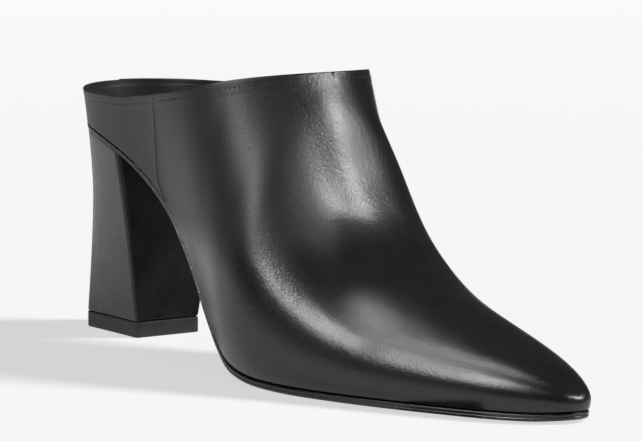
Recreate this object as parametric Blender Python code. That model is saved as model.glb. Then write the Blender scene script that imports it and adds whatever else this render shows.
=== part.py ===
# Right mule pump with a pointed closed toe, a low closed back and a leather-covered block heel.
# Metres. +X points to the toe, +Y to the inner (medial) side, +Z up, origin at the middle of the heel's tread.
import bmesh
import bpy
import numpy as np

# named sizes
shoe_length = 0.245        # back of the seat to the toe tip, in plan
ball_width = 0.0744        # bottom of the shoe across the ball
seat_height = 0.0755       # underside of the upper above the floor at the back of the seat
upper_height = 0.0972      # the highest point of the topline, over the instep
wall = 0.0020              # leather and lining together
margin_width = 0.0080      # upper turned in under the foot
margin_thick = 0.0014
insole_thick = 0.0018
sole_thick = 0.0022        # outsole under the forepart
sole_seat_thick = 0.0013   # outsole under the seat
sole_edge_round = 0.0006   # how far the outsole's lower edge is drawn in
fit = 0.0003               # room between neighbouring pieces
sock_room = 0.0005         # room between the insole's edge and the lining
sock_toe_room = 0.0015     # more of it at the toe tip
tread_depth = 0.0366       # top piece, front to back
tread_width = 0.0258       # top piece along the breast
tread_back_width = 0.0246  # top piece at the back
tread_corner = 0.0042      # rounding of the top piece's back corners
breast_corner = 0.0012     # rounding of the two breast edges
lift_thick = 0.0054
seat_back = 0.0310         # breast to the back of the seat, in plan
breast_reach = 0.0072      # how far the breast's upper edge lies in front of its lower edge
heel_waist = 0.0008        # how far the heel's sides are hollowed

breast_x = tread_depth / 2
back_x = breast_x - seat_back
half = ball_width / 2

# the bottom outline: share of the length from the back, share of half the ball width outwards
outer_line = (
    (0.0000, 0.000), (0.0073, 0.242), (0.0305, 0.470), (0.0732, 0.618), (0.1260, 0.677), (0.1870, 0.688),
    (0.2683, 0.677), (0.3496, 0.715), (0.4309, 0.833), (0.5000, 0.962), (0.5650, 1.000), (0.6341, 0.941),
    (0.7154, 0.793), (0.7967, 0.599), (0.8780, 0.376), (0.9480, 0.148), (0.9800, 0.000), (0.9955, -0.118),
    (1.0000, -0.242))
inner_line = (
    (0.0000, 0.000), (0.0073, 0.242), (0.0305, 0.470), (0.0732, 0.618), (0.1260, 0.672), (0.1870, 0.661),
    (0.2683, 0.565), (0.3496, 0.470), (0.4309, 0.497), (0.5000, 0.659), (0.5650, 0.860), (0.6341, 0.995),
    (0.7154, 1.000), (0.7967, 0.903), (0.8780, 0.753), (0.9480, 0.556), (0.9800, 0.440), (0.9955, 0.352),
    (1.0000, 0.242))
# the bottom of the upper seen from the side: share of the length, share of the seat height
bottom_line = (
    (0.0000, 1.0000), (0.0854, 0.9616), (0.1667, 0.8901), (0.2276, 0.8013), (0.2886, 0.6689), (0.3496, 0.4702),
    (0.4106, 0.2583), (0.4593, 0.1457), (0.5122, 0.0702), (0.5732, 0.0424), (0.6545, 0.0344), (0.7764, 0.0331),
    (0.8984, 0.0344), (0.9593, 0.0377), (1.0000, 0.0477))
# guide curve above the opening, then the ridge of the instep from the throat to the toe:
# share of the length, share of half the ball width to the inner side, share of the upper height
guide_outer = (
    (-0.0285, 0.000, 1.406), (-0.0122, -0.376, 1.406), (0.0285, -0.618, 1.406), (0.0935, -0.753, 1.417),
    (0.1829, -0.780, 1.427), (0.2724, -0.739, 1.438), (0.3537, -0.620, 1.417), (0.4187, -0.400, 1.344),
    (0.4675, -0.110, 1.190))
guide_inner = (
    (-0.0285, 0.000, 1.406), (-0.0122, 0.376, 1.406), (0.0285, 0.618, 1.406), (0.0935, 0.753, 1.417),
    (0.1829, 0.793, 1.427), (0.2724, 0.753, 1.438), (0.3537, 0.679, 1.417), (0.4187, 0.506, 1.344),
    (0.4675, 0.301, 1.190))
ridge = (
    (0.5020, 0.134, 1.0000), (0.5305, 0.148, 0.8600), (0.5600, 0.161, 0.6900), (0.5990, 0.188, 0.5230),
    (0.6530, 0.215, 0.3980), (0.7290, 0.234, 0.3130), (0.8150, 0.242, 0.2480), (0.8984, 0.242, 0.1890),
    (0.9512, 0.242, 0.1450), (0.9760, 0.242, 0.1170))
# height of the topline: share of the length, share of the upper height outside, inside
topline = (
    (-0.0285, 0.8960, 0.8960), (0.0285, 0.8850, 0.8930), (0.0813, 0.8770, 0.8930), (0.1585, 0.8770, 0.8960),
    (0.2480, 0.8940, 0.9120), (0.3374, 0.9210, 0.9370), (0.4146, 0.9550, 0.9670), (0.4675, 0.9830, 0.9920),
    (0.5020, 1.0000, 1.0000))
# which point of the top a rib reaches: share of the way round the bottom, 0 back, 1 throat, 2 toe
rib_reach = (
    (0.00, 0.00), (0.10, 0.16), (0.20, 0.32), (0.30, 0.50), (0.40, 0.70), (0.48, 0.88), (0.56, 1.06),
    (0.70, 1.42), (0.85, 1.74), (1.00, 2.00))
# how far the wall leans out from upright at the bottom, degrees: share of the length, outside, inside
wall_lean = (
    (0.0000, 6, 6), (0.1260, 5, 6), (0.2886, 8, 14), (0.4512, 12, 17), (0.5732, 20, 12), (0.7358, 22, 16),
    (0.8984, 24, 22), (1.0000, 20, 20))
# length of a rib's lower handle as a share of the rib: share of the way round
low_handle = ((0.00, 0.33), (0.30, 0.33), (0.50, 0.36), (0.75, 0.40), (1.00, 0.50))
# upper handle: reach, share outside, share inside
high_handle = ((0.0, 0.33, 0.33), (1.0, 0.38, 0.29), (1.3, 0.42, 0.23), (1.7, 0.45, 0.34), (2.0, 0.50, 0.50))
# slope of the wall at the top, degrees, and how far the rib is drawn along the ridge: reach, value
top_slope = ((0.00, 84), (0.35, 86), (0.60, 70), (0.80, 40), (1.00, 0), (2.00, 0))
ridge_draw = ((0.0, 0.00), (0.6, 0.00), (1.0, 0.10), (1.4, 0.06), (2.0, 0.00))
# the turned-in edge as a share of its width: share of the length
margin_run = ((0.000, 1.00), (0.850, 1.00), (0.911, 0.80), (0.952, 0.60), (0.980, 0.44), (1.000, 0.38))
# outsole thickness between the seat (0) and the forepart (1): share of the length
sole_run = ((0.00, 0.00), (0.14, 0.10), (0.26, 0.70), (0.40, 1.00), (0.90, 1.00), (1.00, 0.85))

rear_ribs = 26
front_ribs = 24
rows = 14


def smooth_table(knots, column, x):
    # value of a column at x, along the smooth curve through a table that never overshoots its rows
    t = np.array([k[0] for k in knots], float)
    y = np.array([k[column] for k in knots], float)
    h = np.diff(t)
    d = np.diff(y) / h
    m = np.concatenate([[d[0]], np.zeros(len(t) - 2), [d[-1]]])
    for i in range(1, len(t) - 1):
        if d[i - 1] * d[i] > 0:
            a, b = 2 * h[i] + h[i - 1], h[i] + 2 * h[i - 1]
            m[i] = (a + b) / (a / d[i - 1] + b / d[i])
    x = np.clip(np.asarray(x, float), t[0], t[-1])
    k = np.clip(np.searchsorted(t, x, side="right") - 1, 0, len(t) - 2)
    s = (x - t[k]) / h[k]
    return ((1 + 2 * s) * (1 - s) ** 2 * y[k] + s * (1 - s) ** 2 * h[k] * m[k]
            + s * s * (3 - 2 * s) * y[k + 1] - s * s * (1 - s) * h[k] * m[k + 1])


class Curve:
    # smooth curve through points, read by share of its own length
    def __init__(self, points, start=None, end=None):
        p = np.array(points, float)
        t = np.concatenate([[0], np.cumsum(np.linalg.norm(np.diff(p, axis=0), axis=1))])
        n, h = len(p), np.diff(t)
        a, r = np.zeros((n, n)), np.zeros_like(p)
        for i in range(1, n - 1):
            a[i, i - 1:i + 2] = h[i], 2 * (h[i - 1] + h[i]), h[i - 1]
            r[i] = 3 * (h[i] * (p[i] - p[i - 1]) / h[i - 1] + h[i - 1] * (p[i + 1] - p[i]) / h[i])
        if start is None:
            a[0, :2], r[0] = (2, 1), 3 * (p[1] - p[0]) / h[0]
        else:
            a[0, 0], r[0] = 1, start
        if end is None:
            a[-1, -2:], r[-1] = (1, 2), 3 * (p[-1] - p[-2]) / h[-1]
        else:
            a[-1, -1], r[-1] = 1, end
        self.t, self.p, self.m = t, p, np.linalg.solve(a, r)
        self.fine = np.linspace(0, t[-1], 1500)
        q = self.raw(self.fine)
        self.run = np.concatenate([[0], np.cumsum(np.linalg.norm(np.diff(q, axis=0), axis=1))])

    def raw(self, x):
        k = np.clip(np.searchsorted(self.t, x, side="right") - 1, 0, len(self.t) - 2)
        h = np.diff(self.t)[k][:, None]
        s = (x - self.t[k])[:, None] / h
        return ((1 + 2 * s) * (1 - s) ** 2 * self.p[k] + s * (1 - s) ** 2 * h * self.m[k]
                + s * s * (3 - 2 * s) * self.p[k + 1] - s * s * (1 - s) * h * self.m[k + 1])

    def share_of_knot(self, k):
        return np.interp(self.t[k], self.fine, self.run) / self.run[-1]

    def at(self, share):
        share = np.clip(np.asarray(share, float), 0, 1)
        return self.raw(np.interp(share * self.run[-1], self.run, self.fine))

    def heading(self, share, step=0.001):
        d = self.at(np.asarray(share) + step) - self.at(np.asarray(share) - step)
        return d / np.linalg.norm(d, axis=1)[:, None]


def share_x(x):
    return (x - back_x) / shoe_length


def bottom_z(x):
    # underside of the upper over the floor
    return seat_height * smooth_table(bottom_line, 1, share_x(x))


def sole_depth(x):
    return sole_seat_thick + (sole_thick - sole_seat_thick) * smooth_table(sole_run, 1, share_x(x))


def outline(side):
    line = outer_line if side < 0 else inner_line
    pts = []
    for along, out in line:
        y = side * half * out if side > 0 else -half * out
        pts.append((back_x + shoe_length * along, y))
    return Curve(pts, (0, side), (0, -side))


def top_curve(side):
    rows_in = (guide_outer if side < 0 else guide_inner) + ridge
    pts = [(back_x + shoe_length * a, half * b, upper_height * c) for a, b, c in rows_in]
    return Curve(pts, (0, side, 0), None), len(guide_outer)


def rib_shares():
    # shares of the way round for every rib, the last of the rear ones reaching the throat
    fine = np.linspace(0, 1, 4001)
    throat = np.interp(1, smooth_table(rib_reach, 1, fine), fine)
    q = np.linspace(0, 1, rear_ribs + 1)
    back = throat * (0.6 * q + 0.4 * (1 - (1 - q) ** 2))
    q = np.linspace(0, 1, front_ribs + 1)[1:]
    front = throat + (1 - throat) * (0.4 * q + 0.6 * (0.55 * q * q * (3 - 2 * q) + 0.45 * (1 - (1 - q) ** 2)))
    return np.concatenate([back, front])


def plan_normals(curve, shares, side):
    d = curve.heading(shares)[:, :2]
    n = np.column_stack([d[:, 1], -d[:, 0]]) * -side
    n /= np.linalg.norm(n, axis=1)[:, None]
    return n


def blend(x, low, high):
    w = np.clip((x - low) / (high - low), 0, 1)
    return w * w * (3 - 2 * w)


def half_shell(side, shares, row_count):
    # outside of the upper on one side: ribs from the bottom edge up to the topline or the ridge
    base = outline(side)
    b2 = base.at(shares)
    bottom = np.column_stack([b2, bottom_z(b2[:, 0])])
    out = plan_normals(base, shares, side)
    out[0], out[-1] = (-1, 0), (1, 0)
    top, knot = top_curve(side)
    throat = top.share_of_knot(knot)
    reach = smooth_table(rib_reach, 1, shares)
    reach[rear_ribs] = 1.0
    front = 1 - throat
    pace = ((0, 0), (0.6, 0.6 * throat), (1, throat), (1.4, throat + 0.4 * front), (2, 1))
    place = smooth_table(pace, 1, reach)
    head = top.at(place)
    along = top.heading(place)
    off = plan_normals(top, place, side)
    off[0] = (-1, 0)
    w = blend(reach, 0.35, 0.80)[:, None]
    off = off * (1 - w) + np.array([0, side]) * w
    off /= np.linalg.norm(off, axis=1)[:, None]
    length = np.linalg.norm(head - bottom, axis=1)
    column = 1 if side < 0 else 2
    lean = np.radians(smooth_table(wall_lean, column, share_x(bottom[:, 0])))
    low = np.column_stack([out * np.sin(lean)[:, None], np.cos(lean)])
    low *= (smooth_table(low_handle, 1, shares) * length)[:, None]
    slope = np.radians(smooth_table(top_slope, 1, reach))
    high = np.column_stack([off * np.cos(slope)[:, None], -np.sin(slope)])
    turn = np.clip((reach - 1.70) / 0.30, 0, 1)[:, None] ** 2.5 * np.pi / 2
    high = high * np.cos(turn) + along * np.sin(turn)
    high *= (smooth_table(high_handle, column, reach) * length)[:, None]
    high += along * (smooth_table(ridge_draw, 1, reach) * length)[:, None]
    p0, p1, p2, p3 = (v[:, None] for v in (bottom, bottom + low, head + high, head))

    def rib(v):
        v = v[:, :, None]
        return (1 - v) ** 3 * p0 + 3 * v * (1 - v) ** 2 * p1 + 3 * v * v * (1 - v) * p2 + v ** 3 * p3

    # rear ribs stop where they meet the topline
    count = len(shares)
    fine = np.linspace(0, 1, 401)[None].repeat(count, 0)
    pts = rib(fine)
    over = pts[:, :, 2] - upper_height * smooth_table(topline, column, share_x(pts[:, :, 0]))
    stop = np.ones(count)
    for i in range(rear_ribs):
        j = int(np.argmax(over[i] > 0))
        stop[i] = fine[i, j - 1] - over[i, j - 1] * (fine[i, j] - fine[i, j - 1]) / (over[i, j] - over[i, j - 1])
    share = np.linspace(0, 1, row_count + 1)
    share = 1 - (1 - share) ** 1.15
    first = margin_thick * 1.2 / (3 * low[:, 2] * stop)
    inner = first[:, None] + (1 - first[:, None]) * share[None]
    return bottom, out, rib(stop[:, None] * share[None]), rib(stop[:, None] * inner), inner, share


def set_in(bottom, out, amount):
    p = bottom[:, :2] - out * np.asarray(amount)[:, None]
    return p


def new_material(name, colour, rough):
    m = bpy.data.materials.new(name)
    m.use_nodes = True
    b = next(n for n in m.node_tree.nodes if n.type == "BSDF_PRINCIPLED")
    b.inputs["Base Color"].default_value = (*colour, 1)
    b.inputs["Roughness"].default_value = rough
    m.diffuse_color = (*colour, 1)
    return m


def add_piece(name, points, faces, material):
    # one closed body with its faces turned outwards
    mesh = bpy.data.meshes.new(name)
    mesh.from_pydata([tuple(p) for p in np.asarray(points, float).tolist()], [],
                     [tuple(int(i) for i in f) for f in faces])
    body = bmesh.new()
    body.from_mesh(mesh)
    bmesh.ops.recalc_face_normals(body, faces=body.faces[:])
    if body.calc_volume(signed=True) < 0:
        bmesh.ops.reverse_faces(body, faces=body.faces[:])
    body.to_mesh(mesh)
    body.free()
    mesh.materials.append(material)
    obj = bpy.data.objects.new(name, mesh)
    parts.objects.link(obj)
    return obj


def quads(a, b, closed=False):
    # faces between two rows of point numbers
    n = len(a)
    last = n if closed else n - 1
    return [(a[i], a[(i + 1) % n], b[(i + 1) % n], b[i]) for i in range(last)]


def make_upper():
    shares = rib_shares()
    n = len(shares)
    ring = 2 * n - 2                      # round the bottom: outer side back to toe, inner side toe to back
    sides = {s: half_shell(s, shares, rows) for s in (-1, 1)}

    def around(left, right):
        return np.concatenate([left, right[1:-1][::-1]])

    bottom = around(sides[-1][0], sides[1][0])
    out = around(sides[-1][1], sides[1][1])
    shell = [around(sides[-1][2][:, j], sides[1][2][:, j]) for j in range(rows + 1)]
    lining = np.array([around(sides[-1][3][:, j], sides[1][3][:, j]) for j in range(rows + 1)])
    height = around(sides[-1][4], sides[1][4])
    share = sides[1][5]

    # front ribs of both sides share the ridge, so the top row names its points once
    top = list(range(ring))
    for i in range(rear_ribs, n - 1):
        top[ring - i] = i
    outer_ids = [[j * ring + k for k in range(ring)] for j in range(rows)]
    outer_ids.append([rows * ring + k for k in top])
    points = np.concatenate(shell)
    faces = []
    for j in range(rows):
        faces += quads(outer_ids[j], outer_ids[j + 1], True)
    faces = [tuple(dict.fromkeys(f)) for f in faces]
    normal = np.zeros_like(points)
    for f in faces:
        p = points[list(f)]
        c = np.cross(p[1] - p[0], p[2] - p[0]) + (np.cross(p[2] - p[0], p[3] - p[0]) if len(f) == 4 else 0)
        for k in f:
            normal[k] += c
    size = np.linalg.norm(normal, axis=1)
    normal[size > 0] /= size[size > 0][:, None]
    if np.dot(normal[outer_ids[1][10]][:2], out[10]) < 0:
        normal = -normal
    grid = np.array([normal[ids] for ids in outer_ids])
    for _ in range(3):
        grid = (np.roll(grid, 1, 1) + np.roll(grid, -1, 1) + 2 * grid) / 4
        for i in range(rear_ribs, n - 1):
            grid[rows, i] = grid[rows, ring - i] = grid[rows, i] + grid[rows, ring - i]
        grid /= np.linalg.norm(grid, axis=2)[:, :, None]
    place = np.array([np.interp(height[k], share, np.arange(rows + 1)) for k in range(ring)]).T
    low_row = np.minimum(place.astype(int), rows - 1)
    w = (place - low_row)[:, :, None]
    k = np.arange(ring)[None]
    facing = grid[low_row, k] * (1 - w) + grid[low_row + 1, k] * w
    facing /= np.linalg.norm(facing, axis=2)[:, :, None]
    lining = lining - facing * wall

    run = smooth_table(margin_run, 1, share_x(bottom[:, 0])) * margin_width
    edge = set_in(bottom, out, run)
    under = np.column_stack([edge, bottom_z(edge[:, 0])])
    over = under + (0, 0, margin_thick)
    foot = set_in(bottom, out, np.full(ring, wall))
    foot = np.column_stack([foot, bottom_z(foot[:, 0]) + margin_thick])

    start = len(points)
    used = [under, over, foot]
    extra = [list(range(start + i * ring, start + (i + 1) * ring)) for i in range(3)]
    points = np.concatenate([points] + used)
    inner_start = len(points)
    inner_ids = [[inner_start + j * ring + k for k in range(ring)] for j in range(rows)]
    inner_ids.append([inner_start + rows * ring + k for k in top])
    points = np.concatenate([points, lining.reshape(-1, 3)])
    faces += quads(extra[0], outer_ids[0], True)
    faces += quads(extra[1], extra[0], True)
    faces += quads(extra[2], extra[1], True)
    faces += quads(inner_ids[0], extra[2], True)
    for j in range(rows):
        faces += quads(inner_ids[j + 1], inner_ids[j], True)
    faces = [tuple(dict.fromkeys(f)) for f in faces]

    # rounded rim round the opening, from one side of the throat back to the other
    loop = list(range(0, rear_ribs + 1)) + [ring - i for i in range(rear_ribs - 1, 0, -1)]
    rim_out = [outer_ids[rows][k] for k in loop]
    rim_in = [inner_ids[rows][k] for k in loop]
    a, b = points[rim_out], points[rim_in]
    lift = points[rim_out] - points[[outer_ids[rows - 1][k] for k in loop]]
    lift /= np.linalg.norm(lift, axis=1)[:, None]
    crest = (a + b) / 2 + lift * wall * 0.35
    crest_ids = list(range(len(points), len(points) + len(loop)))
    points = np.concatenate([points, crest])
    faces += quads(rim_out, crest_ids, True) + quads(crest_ids, rim_in, True)

    keep = sorted({i for f in faces for i in f})
    number = {k: i for i, k in enumerate(keep)}
    faces = [tuple(number[i] for i in f) for f in faces]
    return add_piece("upper", points[keep], faces, leather)


def slab(name, inset, z_low, z_high, shares, material, draw_in=0.0, toe_short=0.0):
    # a sheet under the foot: its outline is the shoe's bottom outline set in, its faces follow the bottom
    sides = []
    for s in (-1, 1):
        base = outline(s)
        b2 = base.at(shares)
        out = plan_normals(base, shares, s)
        out[0], out[-1] = (-1, 0), (1, 0)
        short = toe_short * blend(share_x(b2[:, 0]), 0.93, 1.0)
        sides.append((b2, out, short))
    n = len(shares)
    across = np.linspace(0, 1, 6)

    def sheet(level, more):
        left, right = (b2 - out * (inset + more + short)[:, None] for b2, out, short in sides)
        ids, pts = [], []
        for i in range(n):
            if i in (0, n - 1):
                ids.append([len(pts)] * len(across))
                pts.append(left[i])
            else:
                ids.append(list(range(len(pts), len(pts) + len(across))))
                pts += [left[i] * (1 - w) + right[i] * w for w in across]
        pts = np.array(pts)
        return ids, np.column_stack([pts, level(pts[:, 0])])

    ids, top = sheet(z_high, 0.0)
    _, low = sheet(z_low, draw_in)
    k = len(top)
    faces = []
    for i in range(n - 1):
        for j in range(len(across) - 1):
            f = (ids[i][j], ids[i + 1][j], ids[i + 1][j + 1], ids[i][j + 1])
            faces.append(tuple(dict.fromkeys(f)))
            faces.append(tuple(dict.fromkeys(v + k for v in reversed(f))))
    rim = [ids[i][0] for i in range(n)] + [ids[i][-1] for i in range(n - 2, 0, -1)]
    faces += quads([v + k for v in rim], rim, True)
    return add_piece(name, np.concatenate([top, low]), faces, material)


def tread_ring():
    # outline of the tread: breast corner, side, rounded back corner, back, and round to the breast again
    front = breast_x
    back = breast_x - tread_depth
    corners = ((front, -tread_width / 2, breast_corner), (back, -tread_back_width / 2, tread_corner),
               (back, tread_back_width / 2, tread_corner), (front, tread_width / 2, breast_corner))
    p = np.array([c[:2] for c in corners])
    path = []
    for k in range(4):
        a, b, c = p[k - 1], p[k], p[(k + 1) % 4]
        r = corners[k][2]
        u, v = (a - b) / np.linalg.norm(a - b), (c - b) / np.linalg.norm(c - b)
        angle = np.arccos(np.clip(np.dot(u, v), -1, 1))
        reach = r / np.tan(angle / 2)
        mid = b + (u + v) / np.linalg.norm(u + v) * r / np.sin(angle / 2)
        s, e = b + u * reach - mid, b + v * reach - mid
        sweep = np.pi - angle
        steps = 3 if k in (0, 3) else 8
        for w in np.linspace(0, 1, steps + 1):
            path.append(mid + (s * np.sin((1 - w) * sweep) + e * np.sin(w * sweep)) / np.sin(sweep))
    return np.array(path)


def spread(path, count):
    run = np.concatenate([[0], np.cumsum(np.linalg.norm(np.diff(path, axis=0), axis=1))])
    want = np.linspace(0, run[-1], count + 1)
    return np.column_stack([np.interp(want, run, path[:, i]) for i in range(2)])


def make_heel():
    ring = tread_ring()
    # breast corner 0..3, outer back corner 4..12, inner back corner 13..21, breast corner 22..25
    side_count, front_count = 15, 6
    half_back = len(ring) // 2
    middle = (ring[half_back - 1] + ring[half_back]) / 2
    lower_out = spread(np.vstack([ring[3:half_back], middle]), side_count)
    lower_in = lower_out[::-1] * (1, -1)
    lower = np.vstack([ring[:3], lower_out[:-1], lower_in[:-1], ring[22:23], ring[23:26],
                       spread(np.vstack([ring[25], ring[0]]), front_count)[1:-1]])

    top_front = breast_x + breast_reach
    halves = []
    for s in (-1, 1):
        base = outline(s)
        fine = np.linspace(0, 0.5, 2001)
        p = base.at(fine)
        cut = fine[int(np.argmax(p[:, 0] > top_front - breast_corner))]
        sh = np.linspace(cut, 0, side_count + 1)
        q = base.at(sh)
        out = plan_normals(base, sh, s)
        out[-1] = (-1, 0)
        halves.append(q - out * fit)
    upper_out, upper_in = halves[0], halves[1][::-1]
    a, b = upper_out[0], upper_in[-1]

    def corner_points(p, s):
        w = np.array([1.0, 0.55, 0.15])
        pts = np.array([(top_front - breast_corner * (1 - k) ** 2, p[1] - s * breast_corner * k) for k in w])
        return pts

    ca = corner_points(a, -1)
    cb = corner_points(b, 1)[::-1]
    upper = np.vstack([ca, upper_out[:-1], upper_in[:-1], upper_in[-1:], cb,
                       spread(np.vstack([cb[-1], ca[0]]), front_count)[1:-1]])
    n = len(upper)
    levels = 9
    z_low = lift_thick + fit
    pts = []
    for k in range(levels + 1):
        t = k / levels
        w = t - 0.05 * np.sin(np.pi * t)
        ring_k = lower * (1 - w) + upper * w
        centre = np.array([ring_k[:, 0].mean(), 0])
        away = ring_k - centre
        away /= np.linalg.norm(away, axis=1)[:, None]
        ring_k = ring_k - away * heel_waist * np.sin(np.pi * t)
        z_high = bottom_z(upper[:, 0]) - sole_depth(upper[:, 0]) - 2 * fit
        z = z_low * (1 - t) + z_high * t
        pts.append(np.column_stack([ring_k, z]))
    ids = [[k * n + i for i in range(n)] for k in range(levels + 1)]
    faces = []
    for k in range(levels):
        faces += quads(ids[k], ids[k + 1], True)
    points = np.concatenate(pts)
    faces.append(tuple(reversed(ids[0])))
    # top of the heel follows the underside of the sole: rungs between the two sides
    m = 3 + side_count
    left = list(range(3, m + 1))
    right = [m + side_count - (i - 3) for i in left]
    rungs = 4
    extra = []
    count = len(points)
    grid = []
    for i in range(len(left) - 1):
        pa, pb = upper[left[i]], upper[right[i]]
        row = [ids[-1][left[i]]]
        for w in np.linspace(0, 1, rungs + 1)[1:-1]:
            q = pa * (1 - w) + pb * w
            extra.append((q[0], q[1], bottom_z(q[0]) - sole_depth(q[0]) - 2 * fit))
            row.append(count)
            count += 1
        row.append(ids[-1][right[i]])
        grid.append(row)
    for i in range(len(grid) - 1):
        faces += quads(grid[i], grid[i + 1])
    tip = ids[-1][m]
    faces += [(grid[-1][j + 1], grid[-1][j], tip)[::-1] for j in range(rungs)]
    front = [ids[-1][i] for i in (2, 1, 0)] + [ids[-1][i] for i in range(n - 1, m + side_count, -1)]
    faces.append(tuple(grid[0][::-1] + front))
    points = np.concatenate([points, np.array(extra)])
    return add_piece("heel", points, faces, heel_leather)


def make_top_piece():
    ring = tread_ring()
    n = len(ring)
    low = np.column_stack([ring, np.zeros(n)])
    high = np.column_stack([ring, np.full(n, lift_thick)])
    faces = [tuple(range(n)), tuple(range(2 * n - 1, n - 1, -1))]
    faces += quads(list(range(n)), list(range(n, 2 * n)), True)
    return add_piece("top_piece", np.concatenate([low, high]), faces, rubber)


for old in list(bpy.data.objects):
    bpy.data.objects.remove(old, do_unlink=True)
parts = bpy.data.collections.new("mule_pump")
bpy.context.scene.collection.children.link(parts)

leather = new_material("upper_leather", (0.012, 0.012, 0.014), 0.36)
sock = new_material("sock_leather", (0.020, 0.019, 0.020), 0.55)
sole_leather = new_material("sole_leather", (0.014, 0.013, 0.014), 0.42)
heel_leather = new_material("heel_cover_leather", (0.012, 0.012, 0.014), 0.34)
rubber = new_material("top_piece_rubber", (0.016, 0.016, 0.016), 0.60)

all_shares = rib_shares()
make_upper()
slab("insole", wall + sock_room,
     lambda x: bottom_z(x) + margin_thick + fit,
     lambda x: bottom_z(x) + margin_thick + fit + insole_thick,
     all_shares, sock, toe_short=sock_toe_room)
slab("outsole", 0.0,
     lambda x: bottom_z(x) - fit - sole_depth(x),
     lambda x: bottom_z(x) - fit,
     all_shares, sole_leather, draw_in=sole_edge_round)
make_heel()
make_top_piece()
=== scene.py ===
import math
import bpy
import numpy as np
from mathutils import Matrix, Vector


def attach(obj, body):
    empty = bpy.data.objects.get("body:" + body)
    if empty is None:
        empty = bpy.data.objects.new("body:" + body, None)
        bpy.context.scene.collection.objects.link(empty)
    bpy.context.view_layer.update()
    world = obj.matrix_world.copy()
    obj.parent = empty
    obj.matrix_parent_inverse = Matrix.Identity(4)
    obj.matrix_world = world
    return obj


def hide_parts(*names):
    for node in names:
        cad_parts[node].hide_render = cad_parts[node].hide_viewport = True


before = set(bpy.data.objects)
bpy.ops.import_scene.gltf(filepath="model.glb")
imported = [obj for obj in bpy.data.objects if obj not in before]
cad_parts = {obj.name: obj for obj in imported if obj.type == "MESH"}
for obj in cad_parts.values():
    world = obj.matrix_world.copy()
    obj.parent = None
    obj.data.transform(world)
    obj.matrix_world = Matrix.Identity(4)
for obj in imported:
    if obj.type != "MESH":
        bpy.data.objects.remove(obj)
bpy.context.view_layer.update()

# right mule pump in metres: +X to the toe, +Y to the inner side, +Z up, zero at the middle of the tread
last = {
    "length": 0.245, "ballWidth": 0.0744, "seatHeight": 0.0755, "upperHeight": 0.0972,
    "marginWidth": 0.0080, "marginThick": 0.0014, "insoleThick": 0.0018,
    "soleThick": 0.0022, "soleSeatThick": 0.0013, "fit": 0.0003,
    "treadDepth": 0.0366, "treadWidth": 0.0258, "treadBackWidth": 0.0246, "treadCorner": 0.0042,
    "breastCorner": 0.0012, "breastReach": 0.0072, "heelWaist": 0.0008, "liftThick": 0.0054,
    "seatBack": 0.0310,
}
breastX = last["treadDepth"] / 2
backX = breastX - last["seatBack"]
halfBall = last["ballWidth"] / 2

# bottom outline: share of the length, share of half the ball width outwards
outerLine = (
    (0.0, 0.0), (0.0073, 0.242), (0.0305, 0.47), (0.0732, 0.618), (0.126, 0.677), (0.187, 0.688),
    (0.2683, 0.677), (0.3496, 0.715), (0.4309, 0.833), (0.5, 0.962), (0.565, 1.0), (0.6341, 0.941),
    (0.7154, 0.793), (0.7967, 0.599), (0.878, 0.376), (0.948, 0.148), (0.98, 0.0), (0.9955, -0.118),
    (1.0, -0.242))
innerLine = (
    (0.0, 0.0), (0.0073, 0.242), (0.0305, 0.47), (0.0732, 0.618), (0.126, 0.672), (0.187, 0.661),
    (0.2683, 0.565), (0.3496, 0.47), (0.4309, 0.497), (0.5, 0.659), (0.565, 0.86), (0.6341, 0.995),
    (0.7154, 1.0), (0.7967, 0.903), (0.878, 0.753), (0.948, 0.556), (0.98, 0.44), (0.9955, 0.352),
    (1.0, 0.242))
# underside of the upper from the side: share of the length, share of the seat height
bottomLine = (
    (0.0, 1.0), (0.0854, 0.9616), (0.1667, 0.8901), (0.2276, 0.8013), (0.2886, 0.6689), (0.3496, 0.4702),
    (0.4106, 0.2583), (0.4593, 0.1457), (0.5122, 0.0702), (0.5732, 0.0424), (0.6545, 0.0344),
    (0.7764, 0.0331),
    (0.8984, 0.0344), (0.9593, 0.0377), (1.0, 0.0477))
# top curves: share of the length, share of half the ball width inwards, share of the upper height
guideOuter = (
    (-0.0285, 0.0, 1.406), (-0.0122, -0.376, 1.406), (0.0285, -0.618, 1.406), (0.0935, -0.753, 1.417),
    (0.1829, -0.78, 1.427), (0.2724, -0.739, 1.438), (0.3537, -0.62, 1.417), (0.4187, -0.4, 1.344),
    (0.4675, -0.11, 1.19))
guideInner = (
    (-0.0285, 0.0, 1.406), (-0.0122, 0.376, 1.406), (0.0285, 0.618, 1.406), (0.0935, 0.753, 1.417),
    (0.1829, 0.793, 1.427), (0.2724, 0.753, 1.438), (0.3537, 0.679, 1.417), (0.4187, 0.506, 1.344),
    (0.4675, 0.301, 1.19))
ridgeLine = (
    (0.502, 0.134, 1.0), (0.5305, 0.148, 0.86), (0.56, 0.161, 0.69), (0.599, 0.188, 0.523),
    (0.653, 0.215, 0.398), (0.729, 0.234, 0.313), (0.815, 0.242, 0.248), (0.8984, 0.242, 0.189),
    (0.9512, 0.242, 0.145), (0.976, 0.242, 0.117))
topLine = (
    (-0.0285, 0.896, 0.896), (0.0285, 0.885, 0.893), (0.0813, 0.877, 0.893), (0.1585, 0.877, 0.896),
    (0.248, 0.894, 0.912), (0.3374, 0.921, 0.937), (0.4146, 0.955, 0.967), (0.4675, 0.983, 0.992),
    (0.502, 1.0, 1.0))
ribReach = (
    (0.0, 0.0), (0.1, 0.16), (0.2, 0.32), (0.3, 0.5), (0.4, 0.7), (0.48, 0.88), (0.56, 1.06),
    (0.7, 1.42), (0.85, 1.74), (1.0, 2.0))
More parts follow.
